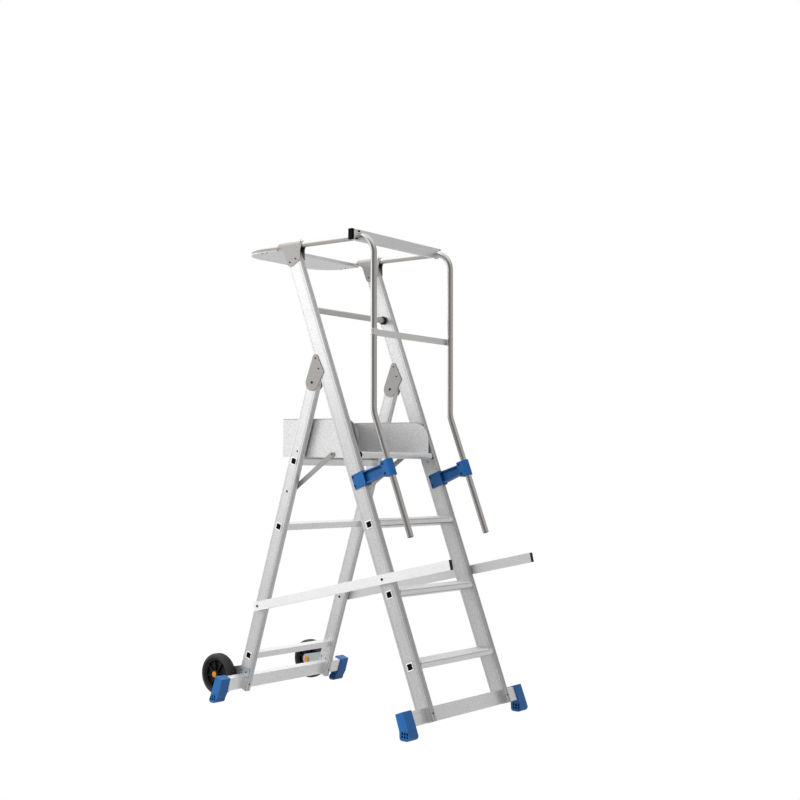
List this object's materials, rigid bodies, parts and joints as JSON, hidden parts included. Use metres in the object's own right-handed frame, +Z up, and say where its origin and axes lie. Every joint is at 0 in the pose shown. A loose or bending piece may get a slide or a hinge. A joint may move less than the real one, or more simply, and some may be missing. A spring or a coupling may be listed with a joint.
{
  "type": "folding podium step",
  "caption": "Folding podium step with splayed ladder frames, fold-up deck, guard hoop with tool tray, lift-up gate, side bars, stabilisers and rear wheels.",
  "frame": {"origin": "on the floor, below the middle of the overall box, midway between the two sides", "axes": "+Z up, -Y the climbing side, +X to the right for a person who climbs"},
  "size_m": [0.79, 1.3036, 1.916],
  "materials": {
    "profile_aluminium": "satin",
    "tube_aluminium": "brushed",
    "sheet_aluminium": "satin",
    "steel_plate": "satin",
    "steel_fastener": "satin",
    "blue_plastic": "matte",
    "black_plastic": "matte",
    "orange_plastic": "matte",
    "tyre_rubber": "matte"
  },
  "bodies": {
    "front_frame": {"left_front_stile": "profile_aluminium", "right_front_stile": "profile_aluminium", "stile_caps": "black_plastic", "lower_tread": "profile_aluminium", "middle_tread": "profile_aluminium", "upper_tread": "profile_aluminium", "front_stabiliser": "tube_aluminium", "left_front_foot": "blue_plastic", "right_front_foot": "blue_plastic", "front_stabiliser_rivets": "steel_fastener", "left_hinge_plates": "steel_plate", "right_hinge_plates": "steel_plate", "hinge_plate_rivets": "steel_fastener", "fold_pivot_bolts": "steel_fastener", "deck_pivot_pins": "black_plastic", "guard_hoop": "tube_aluminium", "left_hoop_bracket": "blue_plastic", "right_hoop_bracket": "blue_plastic", "hoop_bracket_bolts": "steel_fastener", "left_top_bracket": "steel_plate", "right_top_bracket": "steel_plate", "top_bracket_rivets": "steel_fastener", "tool_tray": "sheet_aluminium", "tray_bolts": "steel_fastener", "knee_rail": "profile_aluminium", "knee_rail_collars": "black_plastic"},
    "rear_frame": {"left_rear_stile": "profile_aluminium", "right_rear_stile": "profile_aluminium", "bottom_rear_rung": "profile_aluminium", "middle_rear_rung": "profile_aluminium", "top_rear_rung": "profile_aluminium", "rear_stabiliser": "tube_aluminium", "left_rear_foot": "blue_plastic", "right_rear_foot": "blue_plastic", "rear_stabiliser_rivets": "steel_fastener", "wheel_brackets": "steel_plate", "wheel_bracket_bolts": "steel_fastener", "wheel_axles": "orange_plastic", "side_bar_pivot_bolts": "steel_fastener", "strut_pivot_pins": "steel_fastener"},
    "left_wheel_set": {"left_wheel": "black_plastic", "left_tyre": "tyre_rubber"},
    "right_wheel_set": {"right_wheel": "black_plastic", "right_tyre": "tyre_rubber"},
    "platform": {"deck_panel": "sheet_aluminium", "left_toe_board": "sheet_aluminium", "right_toe_board": "sheet_aluminium", "rear_toe_board": "sheet_aluminium"},
    "platform_struts": {"deck_struts": "steel_plate", "strut_rivets": "steel_fastener"},
    "left_bar": {"left_side_bar": "profile_aluminium", "left_bar_cap": "black_plastic", "left_lock_plunger": "steel_fastener"},
    "right_bar": {"right_side_bar": "profile_aluminium", "right_bar_cap": "black_plastic", "right_lock_plunger": "steel_fastener"},
    "top_gate": {"top_gate_bar": "tube_aluminium", "top_gate_cap": "black_plastic"},
    "mid_gate": {"mid_gate_bar": "steel_plate"}
  },
  "joints": [
    {"name": "rear_fold", "type": "hinge", "parent": "front_frame", "child": "rear_frame", "pos_m": [0, 0.0701, 1.327], "axis": [-1, 0, 0], "range_deg": [0, 38.6]},
    {"name": "platform_lift", "type": "hinge", "parent": "front_frame", "child": "platform", "pos_m": [0, -0.16017, 1.0395], "axis": [1, 0, 0], "range_deg": [0, 65.6]},
    {"name": "strut_swing", "type": "hinge", "parent": "rear_frame", "child": "platform_struts", "pos_m": [0, 0.20182, 0.886], "axis": [1, 0, 0], "range_deg": [-16.8, 0]},
    {"name": "left_wheel_spin", "type": "hinge", "parent": "rear_frame", "child": "left_wheel_set", "pos_m": [-0.286, 0.56377, 0.097], "axis": [1, 0, 0], "continuous": true},
    {"name": "right_wheel_spin", "type": "hinge", "parent": "rear_frame", "child": "right_wheel_set", "pos_m": [0.286, 0.56377, 0.097], "axis": [1, 0, 0], "continuous": true},
    {"name": "left_bar_swing", "type": "hinge", "parent": "rear_frame", "child": "left_bar", "pos_m": [-0.27, 0.34549, 0.405], "axis": [-1, 0, 0], "range_deg": [0, 22]},
    {"name": "right_bar_swing", "type": "hinge", "parent": "rear_frame", "child": "right_bar", "pos_m": [0.27, 0.34549, 0.405], "axis": [-1, 0, 0], "range_deg": [0, 22]},
    {"name": "top_gate_lift", "type": "hinge", "parent": "front_frame", "child": "top_gate", "pos_m": [-0.2465, -0.14886, 1.889], "axis": [0, -1, 0], "range_deg": [0, 90]},
    {"name": "mid_gate_swing", "type": "hinge", "parent": "front_frame", "child": "mid_gate", "pos_m": [-0.2465, -0.23868, 1.516], "axis": [0, 0.0209, 0.9998], "range_deg": [0, 80]}
  ],
  "couplings": [
    {"joint": "platform_lift", "follows": "rear_fold", "ratio": 1.693},
    {"joint": "strut_swing", "follows": "rear_fold", "ratio": -0.4318}
  ]
}
